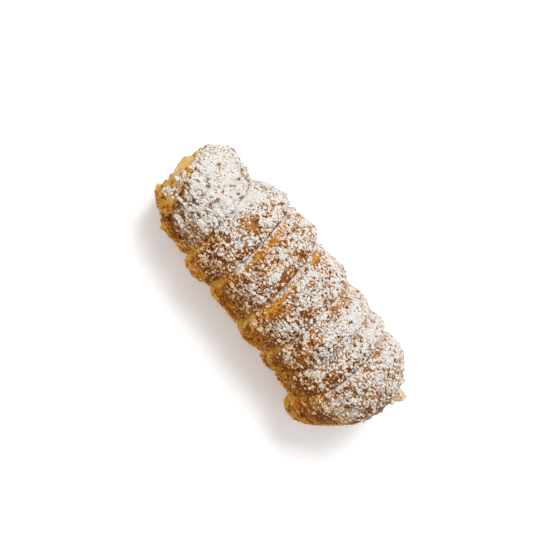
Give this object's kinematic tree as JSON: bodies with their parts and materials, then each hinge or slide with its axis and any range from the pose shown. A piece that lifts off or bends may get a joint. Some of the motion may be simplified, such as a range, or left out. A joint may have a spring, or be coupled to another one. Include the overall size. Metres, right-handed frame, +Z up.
{
  "type": "cannolo pastry",
  "caption": "Custard-filled cannolo: a strip of puff pastry wound in a spiral tube, lying on its side, dusted with icing sugar.",
  "frame": {"origin": "middle of the pastry's footprint box, on the surface it lies on", "axes": "+X along the tube, from the wide mouth towards the closed-in tail; +Z up; -Y towards the flank with the puffed end of the strip"},
  "size_m": [0.1235, 0.0496, 0.0435],
  "materials": {
    "crust": "baked puff pastry, golden to brown, dusted with icing sugar",
    "custard": "smooth yellow custard",
    "icing_sugar": "powdery white sugar clumps"
  },
  "bodies": {
    "root": {"pastry_shell": "crust", "custard_filling": "custard"}
  },
  "joints": []
}
